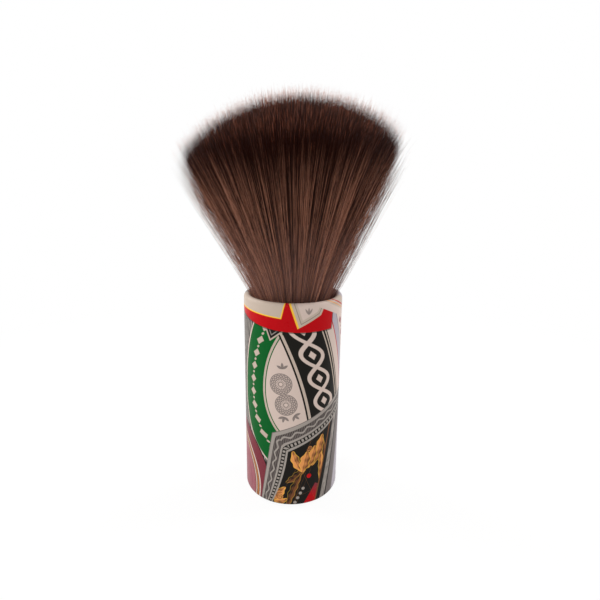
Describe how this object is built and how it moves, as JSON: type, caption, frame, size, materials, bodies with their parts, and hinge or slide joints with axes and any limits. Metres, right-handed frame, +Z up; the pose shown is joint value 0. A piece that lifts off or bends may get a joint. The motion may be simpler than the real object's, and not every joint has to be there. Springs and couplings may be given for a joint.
{
  "type": "neck duster brush",
  "caption": "Barber's neck duster: a round film-wrapped handle with a large flared dome of soft brown filaments set in its open end.",
  "frame": {"origin": "centre of the handle's underside, on the surface that the brush stands on", "axes": "+Z up the handle's axis towards the filament tips, -Y towards the viewer"},
  "size_m": [0.095, 0.095, 0.1765],
  "materials": {
    "printed_film": null,
    "handle_plastic": "moulded, off-white",
    "cap_plastic": "moulded, fine grain, black",
    "cup_plastic": "moulded, dark",
    "root_resin": "cast amber resin",
    "band_nylon": "smooth nylon ring",
    "filament": "fine soft synthetic filament, brown"
  },
  "bodies": {
    "root": {"printed_sleeve": "printed_film", "handle_tube": "handle_plastic", "base_cap": "cap_plastic", "knot_cup": "cup_plastic", "root_plug": "root_resin", "knot_band": "band_nylon", "bristle_tuft_centre": "filament", "bristle_tuft_inner_1": "filament", "bristle_tuft_inner_2": "filament", "bristle_tuft_inner_3": "filament", "bristle_tuft_inner_4": "filament", "bristle_tuft_inner_5": "filament", "bristle_tuft_inner_6": "filament", "bristle_tuft_outer_1": "filament", "bristle_tuft_outer_2": "filament", "bristle_tuft_outer_3": "filament", "bristle_tuft_outer_4": "filament", "bristle_tuft_outer_5": "filament", "bristle_tuft_outer_6": "filament", "bristle_tuft_outer_7": "filament", "bristle_tuft_outer_8": "filament", "bristle_tuft_outer_9": "filament", "bristle_tuft_outer_10": "filament", "bristle_tuft_outer_11": "filament", "bristle_tuft_outer_12": "filament"}
  },
  "joints": []
}
